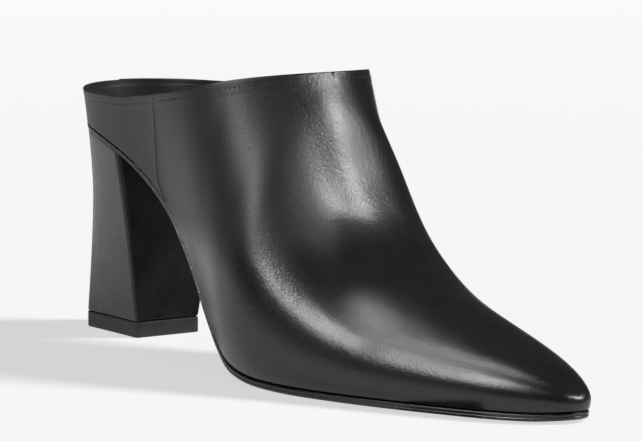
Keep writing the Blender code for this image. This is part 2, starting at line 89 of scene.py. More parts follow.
wallLean = (
    (0.0, 6, 6), (0.126, 5, 6), (0.2886, 8, 14), (0.4512, 12, 17), (0.5732, 20, 12), (0.7358, 22, 16),
    (0.8984, 24, 22), (1.0, 20, 20))
lowHandle = ((0.0, 0.33), (0.3, 0.33), (0.5, 0.36), (0.75, 0.4), (1.0, 0.5))
highHandle = ((0.0, 0.33, 0.33), (1.0, 0.38, 0.29), (1.3, 0.42, 0.23), (1.7, 0.45, 0.34), (2.0, 0.5, 0.5))
topSlope = ((0.0, 84), (0.35, 86), (0.6, 70), (0.8, 40), (1.0, 0), (2.0, 0))
ridgeDraw = ((0.0, 0.0), (0.6, 0.0), (1.0, 0.1), (1.4, 0.06), (2.0, 0.0))
marginRun = ((0.0, 1.0), (0.85, 1.0), (0.911, 0.8), (0.952, 0.6), (0.98, 0.44), (1.0, 0.38))
soleRun = ((0.0, 0.0), (0.14, 0.1), (0.26, 0.7), (0.4, 1.0), (0.9, 1.0), (1.0, 0.85))

camera = {
    "aim": (0.1712, 0.0, 0.0579), "azimuth": 53.1, "elevation": 6.71, "distance": 1.0,
    "lookAt": (0.1116, 0.0, 0.0494), "lens": 181.6,
}


# curves and tables

def cubic(s, h, low, high, lowSlope, highSlope):
    # cubic over a step h that leaves low and reaches high with the given slopes, at share s of the step
    return ((1 + 2 * s) * (1 - s) ** 2 * low + s * (1 - s) ** 2 * h * lowSlope
            + s * s * (3 - 2 * s) * high - s * s * (1 - s) * h * highSlope)


def lengthAlong(points):
    # running sum of the distances between neighbours
    return np.concatenate([[0], np.cumsum(np.linalg.norm(np.diff(points, axis=0), axis=1))])


def tableValue(rows, column, x):
    # cubic between table rows, slopes by weighted harmonic mean, so it never overshoots
    t = np.array([r[0] for r in rows], float)
    y = np.array([r[column] for r in rows], float)
    h = np.diff(t)
    d = np.diff(y) / h
    m = np.concatenate([[d[0]], np.zeros(len(t) - 2), [d[-1]]])
    for i in range(1, len(t) - 1):
        if d[i - 1] * d[i] > 0:
            a, b = 2 * h[i] + h[i - 1], h[i] + 2 * h[i - 1]
            m[i] = (a + b) / (a / d[i - 1] + b / d[i])
    x = np.clip(np.asarray(x, float), t[0], t[-1])
    k = np.clip(np.searchsorted(t, x, side="right") - 1, 0, len(t) - 2)
    return cubic((x - t[k]) / h[k], h[k], y[k], y[k + 1], m[k], m[k + 1])


class PathCurve:
    # twice-smooth spline through points, read by share of its own length
    def __init__(self, points, start=None, end=None):
        p = np.array(points, float)
        t = lengthAlong(p)
        n, h = len(p), np.diff(t)
        a, r = np.zeros((n, n)), np.zeros_like(p)
        for i in range(1, n - 1):
            a[i, i - 1:i + 2] = h[i], 2 * (h[i - 1] + h[i]), h[i - 1]
            r[i] = 3 * (h[i] * (p[i] - p[i - 1]) / h[i - 1] + h[i - 1] * (p[i + 1] - p[i]) / h[i])
        if start is None:
            a[0, :2], r[0] = (2, 1), 3 * (p[1] - p[0]) / h[0]
        else:
            a[0, 0], r[0] = 1, start
        if end is None:
            a[-1, -2:], r[-1] = (1, 2), 3 * (p[-1] - p[-2]) / h[-1]
        else:
            a[-1, -1], r[-1] = 1, end
        self.t, self.p, self.m = t, p, np.linalg.solve(a, r)
        self.fine = np.linspace(0, t[-1], 4000)
        self.run = lengthAlong(self.raw(self.fine))

    def raw(self, x):
        k = np.clip(np.searchsorted(self.t, x, side="right") - 1, 0, len(self.t) - 2)
        h = np.diff(self.t)[k][:, None]
        return cubic((x - self.t[k])[:, None] / h, h, self.p[k], self.p[k + 1], self.m[k], self.m[k + 1])

    def shareOfKnot(self, k):
        return np.interp(self.t[k], self.fine, self.run) / self.run[-1]

    def at(self, share):
        share = np.clip(np.asarray(share, float), 0, 1)
        return self.raw(np.interp(share * self.run[-1], self.run, self.fine))

    def heading(self, share, step=0.001):
        d = self.at(np.asarray(share) + step) - self.at(np.asarray(share) - step)
        return d / np.linalg.norm(d, axis=1)[:, None]


def shareX(x):
    return (x - backX) / last["length"]


def bottomZ(x):
    # height of the upper's underside
    return last["seatHeight"] * tableValue(bottomLine, 1, shareX(x))


def soleDepth(x):
    # thin under the seat, full under the forepart
    more = last["soleThick"] - last["soleSeatThick"]
    return last["soleSeatThick"] + more * tableValue(soleRun, 1, shareX(x))


def soleTop(x):
    return bottomZ(x) - last["fit"]


def soleUnder(x):
    return bottomZ(x) - last["fit"] - soleDepth(x)


def heelTop(x):
    return bottomZ(x) - soleDepth(x) - 2 * last["fit"]


def footOutline(side):
    rows = outerLine if side < 0 else innerLine
    pts = [(backX + last["length"] * a, side * halfBall * b) for a, b in rows]
    return PathCurve(pts, (0, side), (0, -side))


def topCurve(side):
    rows = (guideOuter if side < 0 else guideInner) + ridgeLine
    pts = [(backX + last["length"] * a, halfBall * b, last["upperHeight"] * c) for a, b, c in rows]
    return PathCurve(pts, (0, side, 0), None), len(guideOuter)


def planNormals(curve, shares, side):
    # outward normal of a curve in plan: its heading turned a quarter
    d = curve.heading(shares)[:, :2]
    n = np.column_stack([d[:, 1], -d[:, 0]]) * -side
    return n / np.linalg.norm(n, axis=1)[:, None]


def easeStep(x, low, high):
    # 0 below low, 1 above high, 3w2 - 2w3 between
    w = np.clip((x - low) / (high - low), 0, 1)
    return w * w * (3 - 2 * w)


def unit(v):
    return v / np.maximum(np.linalg.norm(v, axis=-1, keepdims=True), 1e-12)


# meshes

def volumeOf(points, faces):
    # sum of the signed wedges between each face and the origin
    a, b, c, d = (points[faces[:, i]] for i in range(4))
    return (np.einsum("ij,ij->i", a, np.cross(b, c)) + np.einsum("ij,ij->i", a, np.cross(c, d))).sum() / 6


def gridFaces(ids):
    # one quad for each cell of a grid of vertex numbers
    return np.stack([ids[:-1, :-1], ids[:-1, 1:], ids[1:, 1:], ids[1:, :-1]], -1).reshape(-1, 4)


def bandFaces(rings):
    # quads between rings of vertex numbers, closed round
    stack = np.stack(rings)
    return gridFaces(np.concatenate([stack, stack[:, :1]], 1))


class Skin:
    # blocks of points, each given the next vertex numbers
    def __init__(self):
        self.blocks, self.count = [], 0

    def put(self, block):
        self.blocks.append(block.reshape(-1, 3))
        self.count += len(self.blocks[-1])
        return np.arange(self.count - len(self.blocks[-1]), self.count)

    def points(self):
        return np.concatenate(self.blocks)


def addPiece(name, points, faces, material, marks=None, sharpAngle=None):
    # closed skin turned outwards; quads that lost a corner become triangles
    points = np.asarray(points, float)
    faces = np.asarray(faces, int)
    if volumeOf(points, faces) < 0:
        faces = faces[:, ::-1]
    lists = [tuple(dict.fromkeys(f)) for f in faces.tolist()]
    lists = [f for f in lists if len(f) > 2]
    mesh = bpy.data.meshes.new(name)
    mesh.from_pydata(points.tolist(), [], lists)
    mesh.polygons.foreach_set("use_smooth", np.ones(len(mesh.polygons), bool))
    for key, values in (marks or {}).items():
        layer = mesh.attributes.new(key, "FLOAT", "POINT")
        layer.data.foreach_set("value", np.asarray(values, np.float32))
    mesh.materials.append(material)
    mesh.update()
    if sharpAngle:
        mesh.set_sharp_from_angle(angle=math.radians(sharpAngle))
    piece = bpy.data.objects.new(name, mesh)
    bpy.context.scene.collection.objects.link(piece)
    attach(piece, "root")
    return piece


# materials

class Nodes:
    # short way to wire a node material
    def __init__(self, name):
        self.material = bpy.data.materials.new(name)
        self.material.use_nodes = True
        self.tree = self.material.node_tree
        self.shader = next(n for n in self.tree.nodes if n.type == "BSDF_PRINCIPLED")
        self.place = self.add("ShaderNodeTexCoord").outputs["Object"]

    def add(self, kind, **settings):
        node = self.tree.nodes.new(kind)
        for key, value in settings.items():
            setattr(node, key, value)
        return node

    def link(self, a, b):
        self.tree.links.new(a, b)

    def math(self, how, a, b=None, c=None):
        node = self.add("ShaderNodeMath", operation=how)
        for i, v in enumerate((a, b, c)):
            if v is None:
                continue
            if isinstance(v, (int, float)):
                node.inputs[i].default_value = v
            else:
                self.link(v, node.inputs[i])
        return node.outputs[0]

    def noise(self, scale, detail=3.0, rough=0.5, place=None):
        node = self.add("ShaderNodeTexNoise")
        self.link(place or self.place, node.inputs["Vector"])
        node.inputs["Scale"].default_value = scale
        node.inputs["Detail"].default_value = detail
        node.inputs["Roughness"].default_value = rough
        return node.outputs["Fac"]

    def cells(self, scale):
        node = self.add("ShaderNodeTexVoronoi", feature="SMOOTH_F1")
        self.link(self.place, node.inputs["Vector"])
        node.inputs["Scale"].default_value = scale
        return node.outputs["Distance"]

    def mapped(self, size, turn=(0, 0, 0)):
        node = self.add("ShaderNodeMapping")
        self.link(self.place, node.inputs["Vector"])
        node.inputs["Scale"].default_value = size
        node.inputs["Rotation"].default_value = turn
        return node.outputs["Vector"]

    def span(self, value, fromLow, fromHigh, toLow, toHigh):
        node = self.add("ShaderNodeMapRange")
        self.link(value, node.inputs["Value"])
        for key, v in (("From Min", fromLow), ("From Max", fromHigh), ("To Min", toLow), ("To Max", toHigh)):
            node.inputs[key].default_value = v
        return node.outputs["Result"]

    def ramp(self, value, stops):
        node = self.add("ShaderNodeValToRGB")
        self.link(value, node.inputs["Fac"])
        while len(node.color_ramp.elements) < len(stops):
            node.color_ramp.elements.new(0.5)
        for element, (at, colour) in zip(node.color_ramp.elements, stops):
            element.position = at
            element.color = (*colour, 1)
        return node.outputs["Color"]

    def mixColour(self, amount, a, b):
        node = self.add("ShaderNodeMix", data_type="RGBA", blend_type="MIX")
        for socket, v in ((node.inputs[0], amount), (node.inputs[6], a), (node.inputs[7], b)):
            if isinstance(v, (int, float)):
                socket.default_value = v
            elif isinstance(v, tuple):
                socket.default_value = (*v, 1)
            else:
                self.link(v, socket)
        return node.outputs[2]

    def mark(self, key):
        return self.add("ShaderNodeAttribute", attribute_name=key).outputs["Fac"]

    def bump(self, height, strength, distance):
        node = self.add("ShaderNodeBump")
        self.link(height, node.inputs["Height"])
        node.inputs["Strength"].default_value = strength
        node.inputs["Distance"].default_value = distance
        return node.outputs["Normal"]

    def shade(self, colour=None, rough=None, normal=None, **fixed):
        for key, v in (("Base Color", colour), ("Roughness", rough), ("Normal", normal)):
            if v is None:
                continue
            if isinstance(v, (int, float)):
                self.shader.inputs[key].default_value = v
            elif isinstance(v, tuple):
                self.shader.inputs[key].default_value = (*v, 1)
            else:
                self.link(v, self.shader.inputs[key])
        for key, v in fixed.items():
            self.shader.inputs[key].default_value = v
        return self.material


leatherLook = {
    "dark": (0.0085, 0.0083, 0.0088), "light": (0.0150, 0.0146, 0.0152), "rough": (0.276, 0.296),
    "dull": 0.20, "grainSize": 0.00075, "grainDepth": 0.000095,
    "seam": (0.0020, 0.0020, 0.0022), "worn": (0.022, 0.0215, 0.0225),
}


def leatherMaterial(name, look, grain=1.0):
    # calf leather: blotchy black, pebbled grain of small cells, soft gloss that varies with the grain
    n = Nodes(name)
    size = 1 / look["grainSize"]
    cloud = n.noise(95, 4, 0.55)
    speck = n.noise(size * 0.55, 2, 0.6)
    tone = n.math("ADD", n.math("MULTIPLY", cloud, 0.7), n.math("MULTIPLY", speck, 0.3))
    colour = n.ramp(tone, ((0.36, look["dark"]), (0.66, look["light"])))
    pebble = n.cells(size)
    fine = n.noise(size * 1.9, 3, 0.6)
    soft = n.noise(size * 0.33, 2, 0.5)
    height = n.math("ADD", n.math("MULTIPLY", pebble, -0.6), n.math("MULTIPLY", fine, 0.7))
    height = n.math("ADD", height, n.math("MULTIPLY", soft, 0.9))
    rough = n.span(n.math("ADD", n.math("MULTIPLY", cloud, 0.4), n.math("MULTIPLY", speck, 0.6)),
                   0.35, 0.65, *look["rough"])
    seam, edge, dull = n.mark("seamLineAndCrackShade"), n.mark("edgeWear"), n.mark("dullSide")
    # the seam mark darkens the side seams of the upper, a dark joint, and on the heel cover it paints shade
    # along the crack at the breast panel
    colour = n.mixColour(n.math("MULTIPLY", seam, 0.75), colour, look["seam"])
    colour = n.mixColour(n.math("MULTIPLY", edge, 0.5), colour, look["worn"])
    rough = n.math("ADD", rough, n.math("MULTIPLY", seam, 0.2))
    rough = n.math("ADD", rough, n.math("MULTIPLY", dull, look["dull"]))
    return n.shade(colour, rough, n.bump(height, 0.55 * grain, look["grainDepth"]), **{"IOR": 1.5})


liningLook = {"dark": (0.011, 0.0105, 0.0108), "light": (0.024, 0.023, 0.0235), "rough": (0.46, 0.60)}


def liningMaterial(name, look, tint=1.0):
    # smooth lining leather: fine pores and a dull sheen
    n = Nodes(name)
    cloud = n.noise(60, 3, 0.5)
    pores = n.noise(3200, 2, 0.6)
    dark, light = (tuple(c * tint for c in look[key]) for key in ("dark", "light"))
    colour = n.ramp(cloud, ((0.35, dark), (0.7, light)))
    rough = n.span(pores, 0.35, 0.65, *look["rough"])
    height = n.math("ADD", pores, n.math("MULTIPLY", n.noise(700, 2, 0.5), 0.8))
    return n.shade(colour, rough, n.bump(height, 0.35, 0.00008), **{
        "Sheen Weight": 0.08, "Sheen Roughness": 0.5})


soleLook = {"dark": (0.0075, 0.0073, 0.0078), "light": (0.017, 0.0165, 0.017), "rough": (0.26, 0.42)}


def soleMaterial(name, look):
    # painted leather sole: edge dressed smooth, underside with fibres along the shoe and faint rub marks
    n = Nodes(name)
    fibre = n.noise(1.0, 4, 0.6, place=n.mapped((260, 1500, 1500)))
    cloud = n.noise(70, 3, 0.55)
    colour = n.ramp(n.math("ADD", n.math("MULTIPLY", fibre, 0.5), n.math("MULTIPLY", cloud, 0.5)),
                    ((0.35, look["dark"]), (0.68, look["light"])))
    tread = n.mark("underside")
    rough = n.math("ADD", n.span(fibre, 0.35, 0.65, *look["rough"]), n.math("MULTIPLY", tread, 0.14))
    # painted shade: the edge goes near black in its groove and along its top under the upper
    groove = n.mark("grooveShade")
    colour = n.mixColour(n.math("MULTIPLY", groove, 0.8), colour, (0.0015, 0.0015, 0.0016))
    return n.shade(colour, rough, n.bump(fibre, 0.35, 0.00009), **{
        "Coat Weight": 0.15, "Coat Roughness": 0.25})


rubberLook = {"dark": (0.021, 0.0205, 0.021), "light": (0.036, 0.035, 0.0355)}


def rubberMaterial(name, look):
    # moulded lift: matt, fine stipple, faint cutting lines round its side
    n = Nodes(name)
    stipple = n.noise(2600, 3, 0.65)
    cloud = n.noise(120, 3, 0.5)
    lines = n.noise(1.0, 2, 0.5, place=n.mapped((90, 90, 5200)))
    colour = n.ramp(n.math("ADD", n.math("MULTIPLY", cloud, 0.6), n.math("MULTIPLY", stipple, 0.4)),
                    ((0.35, look["dark"]), (0.68, look["light"])))
    height = n.math("ADD", stipple, n.math("MULTIPLY", lines, 0.8))
    return n.shade(colour, n.span(stipple, 0.3, 0.7, 0.52, 0.70), n.bump(height, 0.4, 0.00010))


def threadMaterial(name):
    # waxed black thread: plies twisted round the stitch
    n = Nodes(name)
    ply = n.noise(1.0, 2, 0.5, place=n.mapped((5200, 5200, 5200), turn=(0.4, 0.5, 0.2)))
    colour = n.ramp(ply, ((0.35, (0.008, 0.008, 0.0085)), (0.7, (0.028, 0.027, 0.028))))
    return n.shade(colour, n.span(ply, 0.3, 0.7, 0.38, 0.55), n.bump(ply, 0.5, 0.00005))


def paleMaterial(name):
    # paper that glows a little, more so far away, so that the ground stays evenly pale
    n = Nodes(name)
    away = n.add("ShaderNodeVectorMath", operation="LENGTH")
    n.link(n.place, away.inputs[0])
    glow = n.span(away.outputs["Value"], 0.3, 2.0, 0.62, 0.66)
    n.link(glow, n.shader.inputs["Emission Strength"])
    return n.shade((0.60, 0.60, 0.605), 0.7, None, **{
        "Specular IOR Level": 0.1, "Emission Color": (1.0, 1.0, 1.0, 1)})


upperLeatherMat = leatherMaterial("upperCalf", leatherLook)
heelLeatherMat = leatherMaterial("heelCoverCalf", {**leatherLook, "rough": (0.32, 0.44)}, grain=0.8)
liningMat = liningMaterial("liningLeather", liningLook)
sockMat = liningMaterial("sockLeather", liningLook, 1.1)
soleMat = soleMaterial("blackSole", soleLook)
rubberMat = rubberMaterial("liftRubber", rubberLook)
threadMat = threadMaterial("blackThread")
print("materials ready")

# upper

upper = {
    "rearRibs": 130, "frontRibs": 110, "rows": 64,
    "leather": 0.0011, "liningThick": 0.0007, "liningGap": 0.00006,
    "seamOuter": ((0.0527, 0.0572), (0.0600, 0.0537), (0.0742, 0.0559), (0.0864, 0.0575)),
    "seamInner": ((0.0510, 0.0690), (0.0600, 0.0620), (0.0720, 0.0590), (0.0880, 0.0572)),
    "seamWidth": 0.00036, "seamDepth": 0.00032, "seamRidge": 0.00013,
    "foldRise": 0.00012, "foldFrom": 0.0030, "foldTo": 0.0042, "stitchDip": 0.00010, "stitchDipHalf": 0.0005,
    "ridgeSoftRows": 9.0, "ridgeSoftTimes": 14, "collarRows": 15,
}
stitches = {
    "startX": 0.0600, "below": 0.0023, "pitch": 0.00165, "long": 0.00118, "radius": 0.00021, "sides": 6,
}
# troughs (negative) and ridges: points in millimetres on the leather, half width, height
creases = (
    (((109, 2.5, 99), (110.5, 2.8, 96.7), (115.6, 0.9, 86.9), (120.4, 0.6, 77), (124.2, 0.4, 68.6),
      (129, 2.6, 58.6), (133, 4.3, 52.5), (140, 6, 46)), 7.5, 0.65),
    (((130, -38.5, 38), (135.9, -36.8, 32.4), (149.7, -32, 25.5), (166.4, -26.2, 19.8), (179.3, -18.7, 19.8),
      (192.5, -11.8, 18.8), (213.7, -3.9, 14.8), (226, 1.6, 11.9)), 5.5, 0.26),
    (((160, -33, 6), (166, -29, 14), (170, -23, 20), (171, -16, 24)), 4.6, -0.13),
    (((174, -30, 7), (178, -24, 15), (180, -18, 20)), 5.0, 0.08),
    (((122, -40, 24), (128, -38, 36), (130, -32, 46)), 6.0, -0.16),
    (((131, -12, 56), (134, 4, 52), (131, 20, 52)), 4.5, -0.22),
    (((141, -28, 30), (147, -10, 38), (146, 10, 39), (140, 26, 34)), 6.0, 0.18),
    (((176, 34, 7), (172, 31, 15), (168, 24, 22)), 3.6, -0.20),
    (((196, -14, 16), (200, 4, 20), (198, 20, 16)), 7.0, -0.10),
)


def ribFrame(side, shares):
    # cubic ribs from the feather line to the ridge or guide curve: four control points and where each stops
    base = footOutline(side)
    b2 = base.at(shares)
    bottom = np.column_stack([b2, bottomZ(b2[:, 0])])
    out = planNormals(base, shares, side)
    out[shares <= 0], out[shares >= 1] = (-1, 0), (1, 0)
    top, knot = topCurve(side)
    throat = top.shareOfKnot(knot)
    reach = tableValue(ribReach, 1, shares)
    front = 1 - throat
    pace = ((0, 0), (0.6, 0.6 * throat), (1, throat), (1.4, throat + 0.4 * front), (2, 1))
    place = tableValue(pace, 1, reach)
    head = top.at(place)
    along = top.heading(place)
    off = planNormals(top, place, side)
    off[shares <= 0] = (-1, 0)
    w = easeStep(reach, 0.35, 0.80)[:, None]
    off = unit(off * (1 - w) + np.array([0, side]) * w)
    length = np.linalg.norm(head - bottom, axis=1)
    column = 1 if side < 0 else 2
    lean = np.radians(tableValue(wallLean, column, shareX(bottom[:, 0])))
    low = np.column_stack([out * np.sin(lean)[:, None], np.cos(lean)])
    low *= (tableValue(lowHandle, 1, shares) * length)[:, None]
    slope = np.radians(tableValue(topSlope, 1, reach))
    high = np.column_stack([off * np.cos(slope)[:, None], -np.sin(slope)])
    turn = np.clip((reach - 1.70) / 0.30, 0, 1)[:, None] ** 2.5 * np.pi / 2
    high = high * np.cos(turn) + along * np.sin(turn)
    high *= (tableValue(highHandle, column, reach) * length)[:, None]
    high += along * (tableValue(ridgeDraw, 1, reach) * length)[:, None]
    return bottom, out, (bottom, bottom + low, head + high, head), reach


def onRib(ctrl, v):
    p0, p1, p2, p3 = (c[:, None] for c in ctrl)
    v = v[:, :, None]
    return (1 - v) ** 3 * p0 + 3 * v * (1 - v) ** 2 * p1 + 3 * v * v * (1 - v) * p2 + v ** 3 * p3


fineShares = np.linspace(0, 1, 8001)
throatShare = float(np.interp(1, tableValue(ribReach, 1, fineShares), fineShares))


def columnShares():
    # shares of the way round, closer together where the side seams run
    q = np.linspace(0, 1, 4001) * throatShare
    weight = 1 + 2.6 * np.exp(-((q - 0.298) / 0.016) ** 2) + 0.8 * np.exp(-(q / 0.05) ** 2)
    run = np.concatenate([[0], np.cumsum((weight[1:] + weight[:-1]) / 2)])
    rear = np.interp(np.linspace(0, run[-1], upper["rearRibs"] + 1), run, q)
    q = np.linspace(0, 1, upper["frontRibs"] + 1)[1:]
    front = throatShare + (1 - throatShare) * (0.45 * q + 0.55 * (1 - (1 - q) ** 2))
    return np.concatenate([rear, front])


def upperSkin():
    # outer face as a grid: rows up the ribs, columns once round the foot; front columns meet on the ridge
    shares = columnShares()
    n, rows, rear = len(shares), upper["rows"], upper["rearRibs"]
    ring = 2 * n - 2
    share = 1 - (1 - np.linspace(0, 1, rows + 1)) ** 1.12
    halves = []
    for side in (-1, 1):
        bottom, out, ctrl, reach = ribFrame(side, shares)
        fine = np.linspace(0, 1, 401)[None].repeat(n, 0)
        pts = onRib(ctrl, fine)
        column = 1 if side < 0 else 2
        over = pts[:, :, 2] - last["upperHeight"] * tableValue(topLine, column, shareX(pts[:, :, 0]))
        j = np.argmax(over > 0, 1)
        i = np.arange(n)
        k = np.maximum(j, 1)
        rise = over[i, k] - over[i, k - 1] + 1e-12
        stop = fine[i, k - 1] - over[i, k - 1] * (fine[i, k] - fine[i, k - 1]) / rise
        stop = np.where((i < rear) & (j > 0), stop, 1.0)
        if j[rear - 1] == 0:
            stop[rear - 1] = min(1.0, (stop[rear - 2] + 1.0) / 2)
        halves.append((bottom, out, onRib(ctrl, stop[:, None] * share[None])))

    def around(a, b):
        return np.concatenate([a, b[1:-1][::-1]])

    bottom, out = around(halves[0][0], halves[1][0]), around(halves[0][1], halves[1][1])
    grid = np.swapaxes(around(halves[0][2], halves[1][2]), 0, 1).copy()
    # both sides share the ridge; smooth each front rib pair across it
    left = np.arange(rear, n - 1)
    right = ring - left
    mean = (grid[rows, left] + grid[rows, right]) / 2
    grid[rows, left] = grid[rows, right] = mean
    across = np.concatenate([grid[:, left], grid[rows - 1::-1, right]])
    w = np.exp(-((np.arange(2 * rows + 1) - rows) / upper["ridgeSoftRows"]) ** 2)[:, None, None]
    w = w * easeStep(left - rear, 0, 16)[None, :, None]
    for _ in range(upper["ridgeSoftTimes"]):
        soft = across.copy()
        soft[1:-1] = (across[:-2] + 2 * across[1:-1] + across[2:]) / 4
        across = across * (1 - w) + soft * w
    grid[:, left] = across[:rows + 1]
    grid[rows - 1::-1, right] = across[rows + 1:]
    grid[rows, right] = across[rows]
    return shares, share, bottom, out, grid


def gridNormals(grid, rows, rear, n, ring):
    # cross product of the row and column directions, with the two sides joined over the ridge
    left = np.arange(rear, n - 1)
    right = ring - left
    du = np.roll(grid, -1, 1) - np.roll(grid, 1, 1)
    dv = np.empty_like(grid)
    dv[1:-1] = grid[2:] - grid[:-2]
    dv[0] = grid[1] - grid[0]
    dv[-1] = grid[-1] - grid[-2]
    dv[rows, left] = grid[rows - 1, right] - grid[rows - 1, left]
    dv[rows, right] = -dv[rows, left]
    du[rows, rear] = grid[rows, rear + 1] - grid[rows, rear]
    du[rows, ring - rear] = grid[rows, ring - rear] - grid[rows, ring - rear - 1]
    normal = unit(np.cross(du, dv))
    normal[rows, n - 1] = unit(normal[rows - 2, n - 1] + normal[rows, n - 2] + normal[rows, n])
    if normal[4, 40, 1] > 0:
        normal = -normal
    for _ in range(2):
        normal = unit((np.roll(normal, 1, 1) + np.roll(normal, -1, 1) + 2 * normal) / 4)
        both = unit(normal[rows, left] + normal[rows, right])
        normal[rows, left] = normal[rows, right] = both
    return normal


def pathDistance(points, path):
    # distance to the nearest point of a polyline, and the share of the line where it lies
    path = np.array(path, float) / 1000
    run = lengthAlong(path)
    best, where = np.full(points.shape[:-1], 9.0), np.zeros(points.shape[:-1])
    for i in range(len(path) - 1):
        a, d = path[i], path[i + 1] - path[i]
        t = np.clip(((points - a) @ d) / (d @ d), 0, 1)
        dist = np.linalg.norm(points - a - t[..., None] * d, axis=-1)
        near = dist < best
        best = np.where(near, dist, best)
        where = np.where(near, (run[i] + t * np.linalg.norm(d)) / run[-1], where)
    return best, where


def seamOffset(points, columnSide):
    # signed distance along the shoe from the side seam, positive in front of it
    line = np.where(columnSide[None] < 0, tableValue(upper["seamOuter"], 1, points[..., 2]),
                    tableValue(upper["seamInner"], 1, points[..., 2]))
    return points[..., 0] - line


def collarDistance(grid, rows, rear, ring):
    # distance to the collar edge for the top rows, found against many points along the edge
    edge = grid[rows, np.concatenate([np.arange(0, rear + 1), ring - np.arange(rear, 0, -1), [0]])]
    k = np.arange(len(edge))
    fine = np.linspace(0, len(edge) - 1, 2400)
    edge = np.stack([np.interp(fine, k, edge[:, i]) for i in range(3)], -1)
    away = np.full(grid.shape[:2], 1.0)
    for j in range(rows - upper["collarRows"], rows + 1):
        away[j] = np.linalg.norm(grid[j][:, None] - edge[None], axis=2).min(1)
    return away


def makeUpper():
    shares, share, bottom, out, grid = upperSkin()
    n, rows, rear = len(shares), upper["rows"], upper["rearRibs"]
    ring = 2 * n - 2
    side = np.where(np.arange(ring) < n, -1, 1)
    normal = gridNormals(grid, rows, rear, n, ring)

    # folds: a bell across each drawn line, fading out at its ends
    lift = np.zeros(grid.shape[:2])
    for path, width, height in creases:
        dist, where = pathDistance(grid, path)
        ends = easeStep(where, -0.02, 0.25) * (1 - easeStep(where, 0.75, 1.02))
        lift += height / 1000 * np.exp(-(dist / (width / 1000)) ** 2) * (0.15 + 0.85 * ends)
    off = seamOffset(grid, side)
    w = upper["seamWidth"]
    seam = np.exp(-(off / w) ** 2)
    ridge = np.exp(-((off - 2.6 * w) / (1.7 * w)) ** 2) + 0.6 * np.exp(-((off + 2.6 * w) / (1.7 * w)) ** 2)
    fade = 0.35 + 0.65 * (1 - easeStep(share, 0.80, 1.0))[:, None]
    lift += (ridge * upper["seamRidge"] - seam * upper["seamDepth"]) * fade
    # the folded collar edge stands a little proud, with a dip along its stitch row
    collarRun = collarDistance(grid, rows, rear, ring)
    lift += easeStep(-collarRun, -upper["foldTo"], -upper["foldFrom"]) * upper["foldRise"]
    lift -= np.exp(-((collarRun - stitches["below"]) / upper["stitchDipHalf"]) ** 2) * upper["stitchDip"]
    lift *= easeStep(share, 0.0, 0.03)[:, None]
    outer = grid + normal * lift[:, :, None]
    normal = gridNormals(outer, rows, rear, n, ring)

    top = np.arange(ring)
    left = np.arange(rear, n - 1)
    top[ring - left] = left
    rearEdge = np.concatenate([np.arange(0, rear + 1), ring - np.arange(rear - 1, 0, -1)])
    rise = np.linalg.norm(outer[rows] - outer[rows - 6], axis=1)[:, None]
    upward = (outer[rows] - outer[rows - 6]) / rise

    def shell(near, far, lowSteps, rimSteps, marginFrom, marginTo):
        # closed skin between two offsets of the outer face, with a rounded rim and a turned-in lower edge
        a = outer - normal * near
        b = outer - normal * far
        body = Skin()
        run = tableValue(marginRun, 1, shareX(bottom[:, 0])) * last["marginWidth"]
        loops = []
        for z, inset in lowSteps:
            edge = bottom[:, :2] - out * (run * inset[0] + inset[1])[:, None]
            loops.append(body.put(np.column_stack([edge, bottomZ(edge[:, 0]) + z])))
        loops += [body.put(a[j]) for j in range(marginFrom, rows + 1)]
        loops[-1] = loops[-1][top]
        inner = [body.put(b[j]) for j in range(rows, marginTo - 1, -1)]
        inner[0] = inner[0][top]
        # rim: a half round from the outer face over to the inner one
        mid = (a[rows] + b[rows]) / 2
        half = (a[rows] - b[rows]) / 2
        radius = np.linalg.norm(half, axis=1)[:, None]
        rim = [loops[-1][rearEdge]]
        for angle in np.linspace(0, np.pi, rimSteps + 2)[1:-1]:
            p = (mid + half * np.cos(angle) + upward * radius * 0.75 * np.sin(angle))[rearEdge]
            rim.append(body.put(p))
        rim.append(inner[0][rearEdge])
        faces = [bandFaces(loops), bandFaces(inner + [loops[0]]), bandFaces(rim)]
        return body.points(), np.concatenate(faces)

    t = last["marginThick"]
    lowOuter = [(t * 0.9, (1.0, 0.0)), (0.0, (1.0, 0.0)), (0.0, (0.5, 0.0)), (0.0, (0.0, 0.0009)),
                (0.00012, (0.0, 0.0004)), (0.0004, (0.0, 0.00010))]
    points, faces = shell(0.0, upper["leather"], lowOuter, 5, 1, 2)
    off = seamOffset(points[None], np.where(points[:, 1] < 0, -1, 1))[0]
    seamMark = np.exp(-(off / (w * 0.8)) ** 2)
    collarZ = np.where(points[:, 1] < 0, tableValue(topLine, 1, shareX(points[:, 0])),
                       tableValue(topLine, 2, shareX(points[:, 0]))) * last["upperHeight"]
    wear = easeStep(points[:, 2] - collarZ, -0.0007, 0.0004) * (points[:, 0] < 0.112)
    # the outer quarter was polished less than the vamp
    dull = easeStep(-points[:, 1], 0.008, 0.019) * easeStep(points[:, 2], 0.036, 0.052)
    skin = addPiece("upperLeather", points, faces, upperLeatherMat,
                    {"seamLineAndCrackShade": seamMark, "edgeWear": wear, "dullSide": dull})
    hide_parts("upper")
    near = upper["leather"] + upper["liningGap"]
    # lining stops just under the folded edge
    points, faces = shell(near, near + upper["liningThick"],
                          [(t + 0.00005, (0.9, 0.0)), (t + 0.00005, (0.0, near + 0.0006))], 3, 3, 4)
    lining = addPiece("upperLining", points, faces, liningMat)
    return outer, normal, collarRun, rows, rear, ring


skinGrid, skinNormal, skinCollar, skinRows, skinRear, skinRing = makeUpper()
print("upper and lining made")

# stitches

